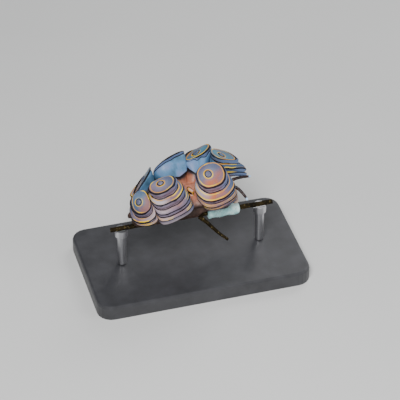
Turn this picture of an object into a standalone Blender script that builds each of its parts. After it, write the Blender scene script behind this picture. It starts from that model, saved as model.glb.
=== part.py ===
"""Doto greenamyeri, a sea slug of about 25 mm, as a still model on a cut length of hydroid stem.

Run with: blender --background --python part.py
The animal faces +X. Its right side, at -Y, is the one the viewer sees. Sizes below are in
millimetres, measured from the stem's axis, and the last step turns them into metres with the
stand's underside at z = 0.
"""
import math

import bmesh
import bpy
import numpy as np

MM = 0.001
GAP = 0.3
HALF_GAP = GAP / 2

# Stand
BASE_LENGTH, BASE_WIDTH, BASE_THICK = 44.0, 26.0, 3.0
BASE_CORNER, BASE_CHAMFER = 3.0, 0.5
STEM_ABOVE_BASE = 9.0
STEM_HEIGHT = BASE_THICK + STEM_ABOVE_BASE
ROD_RADIUS, ROD_HEAD_RADIUS, ROD_HEAD_TALL = 0.9, 1.3, 1.6
ROD_X = (-14.2, 14.6)

# Perch
STEM_START, STEM_END, STEM_RADIUS = -16.4, 17.2, 0.5
CRUST_START, CRUST_END = 3.6, 10.2
CRUST_INNER_RADIUS, CRUST_RADIUS = 0.75, 1.2
BRANCH_ROOT, BRANCH_TIP = (1.9, -0.2, -0.5), (7.5, -1.5, -6.6)
BRANCH_RADIUS, BRANCH_TIP_RADIUS = 0.42, 0.27

# Foot and body
FOOT_START, FOOT_END, FOOT_TOP = -12.0, 8.4, 2.0
FOOT_HALF_WIDTH, FOOT_BLUNT = 1.3, 0.12
BODY_START, BODY_END = -12.8, 9.5
BODY_BOTTOM = FOOT_TOP + GAP
BODY_HALF_WIDTH, BODY_HEIGHT = 2.2, 5.6
BODY_CUTS = (-8.4, -3.4, 1.6, 6.4)
BODY_NAMES = ("tail", "body_rear", "body_middle", "body_front", "head")

# Cerata. Each is a stalk's foot, the middle of its top disc, the disc's facing, the disc's
# half sizes along and across the heading, the outermost point of its lowest tier, that tier's
# half width, how far along the outer wall its rims sit, the reach and rise of its inner
# edge, its stalk's radius, the cosine from which its tiers open, and its knob's shift.
DISC_POWER, HEM_POWER = 2.15, 2.9
WALL, PROUD, GROOVE = 0.12, 0.28, 0.30
KNOB_RADIUS, KNOB_RISE = 0.62, 0.28
CERAS_SIDES = 26
CLAMP_DEPTH = 0.8
CERATA = {
    "ceras_right_1": dict(root=(4.0, -1.25, 5.8), disc=(3.5, -2.7, 11.7), facing=(0.05, -0.6, 0.8),
                          size=(2.5, 2.9), heading=-78, hem=(5.6, -4.7, 5.0), width=3.5,
                          bulge=1.0, rims=(0, 0.45, 0.77, 0.95), inner=(0.9, 1.2), stalk=0.8, open=-0.8,
                          knob=(-0.25, -0.45), lean=0.0),
    "ceras_right_2": dict(root=(-4.6, -1.25, 5.8), disc=(-6.3, -2.0, 10.9), facing=(-0.25, -0.1, 1.0),
                          size=(2.1, 2.7), heading=-74, hem=(-3.5, -5.4, 4.45), width=3.9,
                          bulge=0.65, rims=(0, 0.33, 0.64, 0.90), inner=(0.9, 1.2), stalk=0.8, open=-0.8,
                          knob=(-0.3, -0.1), lean=-0.9),
    "ceras_right_3": dict(root=(-8.8, -1.2, 5.0), disc=(-10.6, -2.5, 7.8), facing=(-0.62, -0.5, 0.6),
                          size=(2.35, 2.2), heading=-118, hem=(-9.8, -4.5, 3.4), width=2.5,
                          bulge=0.8, rims=(0, 0.42, 0.74, 0.92), inner=(0.9, 1.2), stalk=0.8, open=-0.8,
                          knob=(0.0, -0.6), lean=-0.2),
    "ceras_left_1": dict(root=(6.1, 1.5, 5.4), disc=(7.9, 3.6, 11.0), facing=(0.45, 0.05, 0.88),
                         size=(2.9, 2.2), heading=8, hem=(12.8, 3.6, 4.7), width=3.0,
                         bulge=0.9, rims=(0, 0.64, 0.90), inner=(1.8, 1.7), stalk=1.1, open=-0.8,
                         knob=(-0.5, -0.2), lean=0.0),
    "ceras_left_2": dict(root=(1.1, 1.6, 5.9), disc=(3.2, 6.0, 11.0), facing=(-0.31, 0.19, 0.93),
                         size=(1.5, 3.0), heading=86, hem=(2.9, 8.6, 5.5), width=3.6,
                         bulge=0.9, rims=(0, 0.36, 0.66, 0.90), inner=(2.2, 2.4), stalk=1.8, open=0.0,
                         knob=(0.0, 0.25), lean=0.0),
    "ceras_left_3": dict(root=(-1.4, 1.6, 5.9), disc=(-2.75, 5.5, 10.1), facing=(-0.37, 0.85, 0.38),
                         size=(2.6, 3.8), heading=105, hem=(-3.0, 8.0, 4.6), width=3.7,
                         bulge=0.9, rims=(0, 0.36, 0.66, 0.90), inner=(2.3, 2.4), stalk=1.9, open=0.1,
                         knob=(0.0, 0.3), lean=0.0),
    "ceras_left_4": dict(root=(-7.5, 1.3, 5.0), disc=(-8.85, 3.1, 8.7), facing=(-0.76, 0.46, 0.46),
                         size=(3.1, 2.8), heading=150, hem=(-9.9, 5.0, 3.9), width=3.2,
                         bulge=0.8, rims=(0, 0.36, 0.66, 0.90), inner=(2.3, 2.2), stalk=1.5, open=-0.1,
                         knob=(-0.2, 0.2), lean=0.0),
}
# Where two cerata press on each other: a point, and the way from the second to the first.
PRESSED = (
    ("ceras_right_2", "ceras_right_3", (-8.35, -4.5, 6.3), (1.0, 0.1, 0.25)),
    ("ceras_left_1", "ceras_left_2", (5.4, 4.6, 9.0), (0.8, -0.6, 0.0)),
    ("ceras_left_2", "ceras_left_3", (0.1, 4.0, 8.0), (1.0, -0.1, 0.0)),
    ("ceras_left_3", "ceras_left_4", (-6.3, 4.0, 6.0), (1.0, 0.1, 0.1)),
)
MIDLINE_CLEAR = 0.25
# Where the two front cerata stay off the sheaths: a point, and the way to the ceras.
HEAD_CLEAR = (("ceras_right_1", (8.0, -2.0, 6.0), (-0.8, -0.6, 0.0)),
              ("ceras_left_1", (8.9, 2.4, 6.0), (-0.3, 0.95, 0.0)))

# Head
SHEATH_ROOT, SHEATH_LIP = (7.7, 0.85, 5.6), (8.9, 1.05, 6.5)
SHEATH_LOW_RADIUS, SHEATH_LIP_RADIUS = 0.6, 1.0
POCKET_RADIUS, POCKET_DEPTH = 0.68, 0.6
RHINOPHORE_RADIUS, RHINOPHORE_TIP_RADIUS = 0.37, 0.25
RHINOPHORE_TIPS = {"left": (13.0, 1.1, 6.5), "right": (10.9, -3.7, 4.4)}
# The mouth's veil: a broad middle and a rounded lobe at each side, as middles and half sizes
VEIL = (((9.0, 0.0, 3.15), (0.95, 1.5, 0.42)), ((8.95, 1.35, 3.0), (0.75, 0.8, 0.42)),
        ((8.95, -1.35, 3.0), (0.75, 0.8, 0.42)))
PAPILLA_BASE, PAPILLA_TIP = (-0.7, -0.4, 7.25), (0.15, -1.8, 7.15)
PAPILLA_RADIUS = 0.5


def material(name, colour, roughness, metallic=0.0):
    made = bpy.data.materials.new(name)
    made.use_nodes = True
    shader = made.node_tree.nodes["Principled BSDF"]
    shader.inputs["Base Color"].default_value = (*colour, 1.0)
    shader.inputs["Roughness"].default_value = roughness
    shader.inputs["Metallic"].default_value = metallic
    return made


def unit(vector):
    vector = np.asarray(vector, float)
    return vector / np.linalg.norm(vector)


def smooth_step(value):
    value = np.clip(value, 0.0, 1.0)
    return value * value * (3.0 - 2.0 * value)


def to_world(point):
    return (point[0] * MM, point[1] * MM, (point[2] + STEM_HEIGHT) * MM)


def loft(name, rings, finish, split=None):
    """One closed body through rings of equal count, with a flat cap at each end.

    With split, each ring is a horseshoe: its first points run along the inside, the others back
    along the outside, and a cap is a strip between the two.
    """
    shape = bmesh.new()
    rows = [[shape.verts.new(to_world(point)) for point in ring] for ring in rings]
    for lower, upper in zip(rows, rows[1:]):
        count = len(lower)
        for i in range(count):
            j = (i + 1) % count
            shape.faces.new((lower[i], lower[j], upper[j]))
            shape.faces.new((lower[i], upper[j], upper[i]))
    if split is None:
        caps = [shape.faces.new(row) for row in (rows[0], rows[-1])]
    else:
        caps = [shape.faces.new((row[i], row[i + 1], row[-2 - i], row[-1 - i]))
                for row in (rows[0], rows[-1]) for i in range(split - 1)]
    bmesh.ops.triangulate(shape, faces=caps, ngon_method="EAR_CLIP")
    return finish_object(name, shape, finish)


def finish_object(name, shape, finish):
    bmesh.ops.recalc_face_normals(shape, faces=shape.faces)
    mesh = bpy.data.meshes.new(name)
    shape.to_mesh(mesh)
    shape.free()
    mesh.shade_smooth()
    mesh.set_sharp_from_angle(angle=math.radians(40))
    mesh.materials.append(finish)
    made = bpy.data.objects.new(name, mesh)
    bpy.context.collection.objects.link(made)
    return made


def apply_boolean(target, operation, *others):
    """Apply one Boolean with other objects, remove them, and keep the largest surface."""
    group = bpy.data.collections.new("pieces")
    for other in others:
        group.objects.link(other)
    step = target.modifiers.new("join", "BOOLEAN")
    step.operation = operation
    step.operand_type = "COLLECTION"
    step.collection = group
    step.solver = "EXACT"
    bpy.context.view_layer.update()
    evaluated = target.evaluated_get(bpy.context.evaluated_depsgraph_get())
    mesh = bpy.data.meshes.new_from_object(evaluated)
    old = target.data
    target.modifiers.clear()
    target.data = mesh
    mesh.name = target.name
    bpy.data.meshes.remove(old)
    for other in others:
        bpy.data.objects.remove(other)
    bpy.data.collections.remove(group)
    keep_largest(mesh)


def keep_largest(mesh):
    shape = bmesh.new()
    shape.from_mesh(mesh)
    left = set(shape.verts)
    islands = []
    while left:
        island, stack = set(), [left.pop()]
        while stack:
            vert = stack.pop()
            island.add(vert)
            for edge in vert.link_edges:
                other = edge.other_vert(vert)
                if other in left:
                    left.remove(other)
                    stack.append(other)
        islands.append(island)
    largest = max(islands, key=len)
    bmesh.ops.delete(shape, geom=[v for v in shape.verts if v not in largest], context="VERTS")
    bmesh.ops.triangulate(shape, faces=shape.faces)
    shape.to_mesh(mesh)
    shape.free()


def section_frame(direction):
    """Two directions square to the given one."""
    along = unit(direction)
    side = unit(np.cross((0.0, 0.0, 1.0), along)) if abs(along[2]) < 0.95 else np.array((0.0, 1.0, 0.0))
    return side, np.cross(along, side)


def tube_rings(path, radii, sides):
    rings = []
    path = [np.asarray(point, float) for point in path]
    for index, (point, radius) in enumerate(zip(path, radii)):
        before = path[max(index - 1, 0)]
        after = path[min(index + 1, len(path) - 1)]
        side, up = section_frame(after - before)
        angles = np.arange(sides) * math.tau / sides
        rings.append([point + radius * (math.cos(a) * side + math.sin(a) * up) for a in angles])
    return rings


def body_ring(x, grow=0.0, sides=24):
    """The body's cross-section: a narrow flank, widest low down, under a rounded back."""
    along = (x - BODY_START) / (BODY_END - BODY_START)
    tail = math.sqrt(min(max(along / 0.36, 0.0), 1.0))
    snout = math.sqrt(min(max((1.0 - along) / 0.15, 0.0), 1.0))
    half_width = 0.3 + (BODY_HALF_WIDTH - 0.3) * tail * snout + grow
    slope = 1.0 - 0.42 * smooth_step((along - 0.62) / 0.38)
    height = 0.7 + (BODY_HEIGHT - 0.7) * tail ** 1.5 * (0.35 + 0.65 * snout) * slope + grow
    ring = []
    for index in range(sides):
        angle = index * math.tau / sides
        across, rise = math.sin(angle), (1.0 - math.cos(angle)) / 2.0
        shoulder = 1.0 - 0.38 * rise ** 2
        ring.append((x, half_width * across * shoulder, BODY_BOTTOM - grow + (height + grow) * rise))
    return ring


def build_body(flesh):
    """Five lengths of one body, parted by thin cuts."""
    ends = (BODY_START, *BODY_CUTS, BODY_END)
    made = {}
    for index, name in enumerate(BODY_NAMES):
        low = ends[index] + (HALF_GAP if index else 0.0)
        high = ends[index + 1] - (HALF_GAP if index < len(BODY_NAMES) - 1 else 0.0)
        steps = 8
        stations = [low + (high - low) * step / steps for step in range(steps + 1)]
        made[name] = loft(name, [body_ring(x) for x in stations], flesh)
    return made


def body_cutter(name, flesh):
    """The whole body grown by the gap, to clear what sits on it."""
    stations = np.linspace(BODY_START - GAP, BODY_END + GAP, 34)
    return loft(name, [body_ring(x, GAP) for x in stations], flesh)


def press_clear(points, name):
    """Squeeze a ceras off the planes that it shares with its neighbours and the midline."""
    side = -1.0 if "_right_" in name else 1.0
    planes = [((0.0, side * MIDLINE_CLEAR, 0.0), (0.0, side, 0.0))]
    planes += [(point, way) for cleared, point, way in HEAD_CLEAR if cleared == name]
    for first, second, point, way in PRESSED:
        if name == first:
            planes.append((np.array(point) + HALF_GAP * unit(way), way))
        if name == second:
            planes.append((np.array(point) - HALF_GAP * unit(way), -np.array(way)))
    for point, way in planes:
        way = unit(way)
        depth = (points - np.array(point)) @ way
        squeezed = CLAMP_DEPTH * np.exp((np.minimum(depth, CLAMP_DEPTH) - CLAMP_DEPTH) / CLAMP_DEPTH)
        depth_kept = np.where(depth < CLAMP_DEPTH, squeezed, depth)
        points = points + (depth_kept - depth)[..., None] * way
    return points


def oval_reach(angle, halves, middle, power):
    """How far out a squarish oval lies at each angle, seen from a point inside it."""
    low, high = np.zeros(len(angle)), np.full(len(angle), 30.0)
    for _ in range(40):
        reach = (low + high) / 2.0
        away = (np.abs((reach * np.cos(angle) - middle[0]) / halves[0]) ** power
                + np.abs((reach * np.sin(angle) - middle[1]) / halves[1]) ** power)
        low, high = np.where(away < 1.0, reach, low), np.where(away < 1.0, high, reach)
    return low


def ceras_rings(name, sides=CERAS_SIDES):
    """A stack of discs: rings from the knob on its top disc down to its stalk."""
    spec = CERATA[name]
    root, disc = np.array(spec["root"]), np.array(spec["disc"])
    tall = np.linalg.norm(disc - root)
    axis = (disc - root) / tall
    heading = math.radians(spec["heading"])
    outward = np.array((math.cos(heading), math.sin(heading), 0.0))
    outward = unit(outward - (outward @ axis) * axis)
    across = np.cross(axis, outward)
    facing = unit(spec["facing"])

    angle = np.arange(sides) * math.tau / sides
    cos, sin = np.cos(angle), np.sin(angle)
    spoke = cos[:, None] * outward + sin[:, None] * across
    tilt = -(spoke @ facing) / (axis @ facing)
    along_half, across_half = spec["size"]
    disc_reach = oval_reach(angle, (along_half, across_half), (0.0, 0.0), DISC_POWER)
    disc_reach = disc_reach / np.sqrt(1.0 + tilt * tilt)
    disc_rise = tall + tilt * disc_reach

    hem = np.array(spec["hem"]) - root
    inner_reach, inner_rise = spec["inner"]
    hem_middle = (hem @ outward - inner_reach) / 2.0
    hem_half = (hem @ outward + inner_reach) / 2.0
    hem_shift = hem @ across
    hem_reach = oval_reach(angle, (hem_half, spec["width"]), (hem_middle, hem_shift), HEM_POWER)
    outer = (1.0 + cos) / 2.0
    hem_rise = inner_rise + (hem @ axis - inner_rise) * outer ** 0.55 + spec["lean"] * sin
    tiered = smooth_step((cos - spec["open"]) / 0.5)
    bulge = spec["bulge"] * outer ** 0.6

    def wall(part, proud):
        run, fall = hem_reach - disc_reach, hem_rise - disc_rise
        reach = disc_reach + run * part + bulge * math.sin(math.pi * part)
        rise = disc_rise + fall * part
        slope = run + bulge * math.pi * math.cos(math.pi * part)
        length = np.hypot(slope, fall)
        return reach - proud * fall / length, rise + proud * slope / length

    rows = []
    for share, lift in ((0.5, KNOB_RISE), (1.0, 0.05)):
        reach = np.full(sides, KNOB_RADIUS * share)
        rows.append((reach, tall + tilt * reach + lift))
    rows.append((disc_reach * 0.9, tall + tilt * disc_reach * 0.9))
    rims = spec["rims"]
    for tier, part in enumerate(rims):
        lowest = tier == len(rims) - 1
        relief = tiered if tier else 0.4 + 0.6 * tiered
        rows.append(wall(part, PROUD * relief) if tier else (disc_reach, disc_rise - 0.05))
        rows.append(wall(part + WALL * 0.5, 0.9 * PROUD * relief))
        rows.append(wall(part + WALL, -GROOVE * relief * (not lowest)))
        if not lowest:
            rows.append(wall((part + WALL + rims[tier + 1]) / 2.0, 0.05 * relief))
    stalk = spec["stalk"]
    rows.append((stalk + (hem_reach - stalk) * 0.3, hem_rise * 0.85 - 0.1))
    rows.append((np.full(sides, stalk), np.full(sides, -0.4)))
    rings = np.array([root + rise[:, None] * axis + reach[:, None] * spoke for reach, rise in rows])
    aside = spec["knob"][0] * outward + spec["knob"][1] * across
    rings[:2] += aside - (aside @ facing) / (axis @ facing) * axis
    return press_clear(rings, name)


def build_cerata(flesh):
    for name in CERATA:
        ceras = loft(name, ceras_rings(name), flesh)
        apply_boolean(ceras, "DIFFERENCE", body_cutter("body_clear", flesh))


def mirrored(point, side):
    return np.array((point[0], point[1] * side, point[2]))


def build_head_parts(head, flesh, dark):
    """Veil lobes and mouth on the head, and the sheathed rhinophores above it."""
    veil = []
    for centre, radii in VEIL:
        lobe = bmesh.new()
        bmesh.ops.create_uvsphere(lobe, u_segments=14, v_segments=8, radius=1.0)
        for vert in lobe.verts:
            vert.co = to_world([c + r * v for c, r, v in zip(centre, radii, vert.co)])
        veil.append(finish_object("veil_lobe", lobe, flesh))
    apply_boolean(head, "UNION", *veil)
    mouth = [(BODY_END - 0.7, y, z) for y, z in ((-0.5, 2.4), (0.5, 2.4), (0.4, 2.75), (-0.4, 2.75))]
    front = [(x + 1.6, y, z) for x, y, z in mouth]
    apply_boolean(head, "DIFFERENCE", loft("mouth", [mouth, front], flesh))
    for label, side in (("left", 1.0), ("right", -1.0)):
        root, lip = mirrored(SHEATH_ROOT, side), mirrored(SHEATH_LIP, side)
        along = unit(lip - root)
        floor = lip - along * POCKET_DEPTH
        path = (root, root + (lip - root) * 0.5, lip - along * 0.15, lip,
                lip, lip - along * 0.3, floor)
        middle_radius = SHEATH_LOW_RADIUS * 1.1
        radii = (SHEATH_LOW_RADIUS, middle_radius, SHEATH_LIP_RADIUS, SHEATH_LIP_RADIUS * 0.94,
                 POCKET_RADIUS * 1.08, POCKET_RADIUS, POCKET_RADIUS * 0.94)
        side_way, up_way = section_frame(along)
        angles = np.arange(14) * math.tau / 14
        rings = [[p + r * (math.cos(a) * side_way + math.sin(a) * up_way) for a in angles]
                 for p, r in zip(path, radii)]
        sheath = loft("rhinophore_sheath_" + label, rings, flesh)
        apply_boolean(sheath, "DIFFERENCE", body_cutter("body_clear", flesh))
        tip = np.array(RHINOPHORE_TIPS[label])
        start = floor + along * GAP
        bend = lip + along * 0.7
        steps = np.linspace(0.0, 1.0, 9)
        curve = [(1 - t) ** 2 * start + 2 * t * (1 - t) * bend + t * t * tip for t in steps]
        radii = [RHINOPHORE_RADIUS + (RHINOPHORE_TIP_RADIUS - RHINOPHORE_RADIUS) * t for t in steps]
        radii[-1] *= 0.6
        loft("rhinophore_" + label, tube_rings(curve, radii, 10), dark)


def build_papilla(flesh):
    base, tip = np.array(PAPILLA_BASE), np.array(PAPILLA_TIP)
    path = [base + (tip - base) * t for t in (0.0, 0.5, 0.85, 1.0)]
    radii = [PAPILLA_RADIUS * r for r in (1.0, 1.0, 0.9, 0.6)]
    papilla = loft("anal_papilla", tube_rings(path, radii, 12), flesh)
    apply_boolean(papilla, "DIFFERENCE", body_cutter("body_clear", flesh))


def foot_ring(x, blunt=0.0):
    """A strip that clasps the stem, shallower where it crosses the crust sleeve."""
    over_crust = smooth_step((x - CRUST_START + 2.6) / 1.6)
    groove = STEM_RADIUS + GAP + (CRUST_RADIUS - STEM_RADIUS) * over_crust
    low = 0.3 + 0.95 * over_crust
    reach = math.acos(low / groove)
    ends = min((x - FOOT_START) / 3.0, (FOOT_END - x) / 1.2, 1.0)
    wide = max(0.45 + (FOOT_HALF_WIDTH - 0.45) * math.sqrt(max(ends, 0.0)),
               groove * math.sin(reach) + 0.5)
    inner = [(groove * math.sin(a), groove * math.cos(a)) for a in np.linspace(reach, -reach, 10)]
    middle = (low + FOOT_TOP) / 2
    half = [(-wide + 0.1, low), (-wide, middle - 0.15), (-wide + 0.02, middle + 0.15),
            (-wide + 0.2, FOOT_TOP), (-wide * 0.35, FOOT_TOP)]
    outer = half + [(-y, z) for y, z in reversed(half)]
    return [(x, y, z) for y, z in inner] + [(x - blunt * abs(y) / wide, y, z) for y, z in outer]


def build_foot(flesh):
    middle = CRUST_START - 1.0
    for name, low, high in (("foot_rear", FOOT_START, middle - HALF_GAP),
                            ("foot_front", middle + HALF_GAP, FOOT_END)):
        stations = np.linspace(low, high, 10)
        rings = [foot_ring(x) for x in stations[1:-1]]
        rings = [foot_ring(low, -FOOT_BLUNT)] + rings + [foot_ring(high, FOOT_BLUNT)]
        loft(name, rings, flesh, split=10)


def build_perch(stem_finish, crust_finish):
    stations = np.linspace(STEM_START, STEM_END, 36)
    path = [(x, 0.03 * math.sin(1.7 * x), 0.03 * math.cos(1.1 * x)) for x in stations]
    radii = [STEM_RADIUS * (0.95 + 0.04 * math.sin(2.9 * x)) for x in stations]
    loft("perch_stem", tube_rings(path, radii, 12), stem_finish)
    root, tip = np.array(BRANCH_ROOT), np.array(BRANCH_TIP)
    steps = np.linspace(0.0, 1.0, 12)
    path = [root + (tip - root) * t + np.array((0, 0, 0.12 * math.sin(7 * t))) for t in steps]
    radii = [BRANCH_RADIUS + (BRANCH_TIP_RADIUS - BRANCH_RADIUS) * t for t in steps]
    branch = loft("perch_side_branch", tube_rings(path, radii, 10), stem_finish)
    clear = loft("stem_clear", tube_rings([(x, 0, 0) for x in (STEM_START, STEM_END)],
                                          [STEM_RADIUS + GAP] * 2, 24), stem_finish)
    apply_boolean(branch, "DIFFERENCE", clear)
    outer_path = np.linspace(CRUST_START, CRUST_END, 10)
    outer = tube_rings([(x, 0, 0) for x in outer_path],
                       [CRUST_RADIUS + 0.06 * math.sin(2.3 * x) for x in outer_path], 16)
    bore = tube_rings([(x, 0, 0) for x in (CRUST_START - 1, CRUST_END + 1)],
                      [CRUST_INNER_RADIUS] * 2, 16)
    crust = loft("perch_crust", outer, crust_finish)
    apply_boolean(crust, "DIFFERENCE", loft("bore", bore, crust_finish))


def build_stand(base_finish, rod_finish):
    shape = bmesh.new()
    bmesh.ops.create_cube(shape, size=1.0)
    for vert in shape.verts:
        vert.co.x *= BASE_LENGTH * MM
        vert.co.y *= BASE_WIDTH * MM
        vert.co.z = (vert.co.z + 0.5) * BASE_THICK * MM
    upright = [e for e in shape.edges if abs(e.verts[0].co.z - e.verts[1].co.z) > MM]
    bmesh.ops.bevel(shape, geom=upright, offset=BASE_CORNER * MM, segments=5, affect="EDGES",
                    profile=0.5)
    top = [e for e in shape.edges if all(v.co.z > (BASE_THICK - 0.01) * MM for v in e.verts)]
    bmesh.ops.bevel(shape, geom=top, offset=BASE_CHAMFER * MM, segments=2, affect="EDGES",
                    profile=0.5)
    bmesh.ops.triangulate(shape, faces=shape.faces)
    finish_object("stand_base", shape, base_finish)
    low = BASE_THICK - STEM_HEIGHT + GAP
    high = -0.2
    for label, x in zip(("rear", "front"), ROD_X):
        path = [(x, 0, z) for z in (low, high - ROD_HEAD_TALL - 0.4, high - ROD_HEAD_TALL, high)]
        angles = np.arange(20) * math.tau / 20
        rings = [[(p[0] + r * math.cos(a), r * math.sin(a), p[2]) for a in angles]
                 for p, r in zip(path, (ROD_RADIUS, ROD_RADIUS, ROD_HEAD_RADIUS, ROD_HEAD_RADIUS))]
        rod = loft("stand_rod_" + label, rings, rod_finish)
        saddle = loft("saddle", tube_rings([(x - 3, 0, 0), (x + 3, 0, 0)],
                                           [STEM_RADIUS + GAP] * 2, 24), rod_finish)
        apply_boolean(rod, "DIFFERENCE", saddle)


def main():
    for old in list(bpy.data.objects):
        bpy.data.objects.remove(old)
    skin = material("skin", (0.62, 0.36, 0.30), 0.35)
    mantle = material("ceras_skin", (0.50, 0.47, 0.62), 0.35)
    dark = material("rhinophore_skin", (0.16, 0.04, 0.03), 0.4)
    stem = material("hydroid_stem", (0.23, 0.19, 0.09), 0.8)
    crust = material("crust", (0.62, 0.74, 0.70), 0.7)
    plate = material("stand_plate", (0.05, 0.05, 0.055), 0.45)
    steel = material("stand_steel", (0.62, 0.62, 0.64), 0.3, 1.0)
    body = build_body(skin)
    build_head_parts(body["head"], skin, dark)
    build_papilla(skin)
    build_cerata(mantle)
    build_foot(skin)
    build_perch(stem, crust)
    build_stand(plate, steel)


main()
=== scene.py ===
"""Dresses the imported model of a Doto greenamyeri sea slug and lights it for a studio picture.

Shapes are worked out in millimetres from the axis of the stem that the animal grips, with the
animal facing +X, and are turned into metres when their meshes are made.
"""
import math

import bmesh
import bpy
import numpy as np
from bpy.props import FloatProperty, FloatVectorProperty, IntProperty, PointerProperty
from bpy.types import Operator, Panel, PropertyGroup
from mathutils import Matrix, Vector


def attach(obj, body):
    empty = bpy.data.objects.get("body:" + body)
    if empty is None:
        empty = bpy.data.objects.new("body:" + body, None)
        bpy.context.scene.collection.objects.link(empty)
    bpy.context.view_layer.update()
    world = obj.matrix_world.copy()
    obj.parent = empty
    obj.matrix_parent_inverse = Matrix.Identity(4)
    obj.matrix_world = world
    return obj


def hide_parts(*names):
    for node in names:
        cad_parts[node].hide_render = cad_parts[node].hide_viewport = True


bl_info = {
    "name": "Sea slug on a stem",
    "version": (1, 0, 0),
    "blender": (4, 5, 0),
    "location": "View3D > Sidebar > Sea slug",
    "description": "Builds the skin, rhinophores, eyes, perch and stand of a sea slug model",
    "category": "Object",
}

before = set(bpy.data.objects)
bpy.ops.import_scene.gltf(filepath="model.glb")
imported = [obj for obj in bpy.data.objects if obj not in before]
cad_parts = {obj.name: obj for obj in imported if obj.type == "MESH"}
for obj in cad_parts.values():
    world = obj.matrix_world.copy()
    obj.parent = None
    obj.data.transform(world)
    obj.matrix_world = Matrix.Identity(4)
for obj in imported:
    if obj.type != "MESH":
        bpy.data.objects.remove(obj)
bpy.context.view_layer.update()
MM = 0.001
STEM_HEIGHT = 12.0
TAU = math.tau

# Body and foot, as the solids have them
BODY_START, BODY_END = -12.8, 9.5
BODY_BOTTOM, BODY_HALF_WIDTH, BODY_HEIGHT, BODY_SIDES = 2.3, 2.2, 5.6, 96
FOOT_START, FOOT_END, FOOT_TOP = -12.0, 8.4, 2.0
FOOT_HALF_WIDTH = 1.3
CRUST_START, CRUST_END, CRUST_RADIUS = 3.6, 10.2, 1.2
STEM_START, STEM_END, STEM_RADIUS = -16.4, 17.2, 0.5
BRANCH_ROOT, BRANCH_TIP = (1.9, -0.2, -0.5), (7.5, -1.5, -6.6)
BRANCH_RADIUS, BRANCH_TIP_RADIUS = 0.42, 0.27
FLESH_NODES = ("head", "body_front", "body_middle", "body_rear", "tail", "foot_front", "foot_rear",
               "anal_papilla", "rhinophore_sheath_left", "rhinophore_sheath_right")

# Cerata, as the solids have them, and from the key cool on as the skin alone has them: how cool
# the colours are, the degrees round the disc where the warm and the cold side lie, how strong the
# blush is, how deep a wall goes, how wavy the tiers' edges are, and fine, below one for bold lines.
PROUD, GROOVE = 0.28, 0.30
WALL_SHARE, LOWEST_WALL = 0.6, 0.24
KNOB_RADIUS, KNOB_RISE = 0.62, 0.28
CLAMP_DEPTH, MIDLINE_CLEAR = 0.8, 0.25
DISC_POWER, HEM_POWER = 2.15, 2.9
HEM_CURVE, BULGE_CURVE = 0.55, 0.6
WAVES_ROUND, CALM_WAVE, WAVE_LOST_OUTSIDE = 7, 0.006, 0.8
FACE_WOBBLE, EDGE_WOBBLE, RIM_WOBBLE, BETWEEN_WOBBLE = 0.03, 0.02, 0.06, 0.03
FIRST_CERAS_SEED, PERCH_SEED = 11, 5
HEAD_CLEAR = (("ceras_right_1", (8.0, -2.0, 6.0), (-0.8, -0.6, 0.0)),
              ("ceras_left_1", (8.9, 2.4, 6.0), (-0.3, 0.95, 0.0)))
USUAL = dict(rims=(0, 0.36, 0.66, 0.90), bulge=0.9, inner=(0.9, 1.2), stalk=0.8, open=-0.8,
             lean=0.0, warm_from=0, chill_from=180, blush=0.8, wall=0.12, wave=0.0, fine=1.0)
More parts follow.
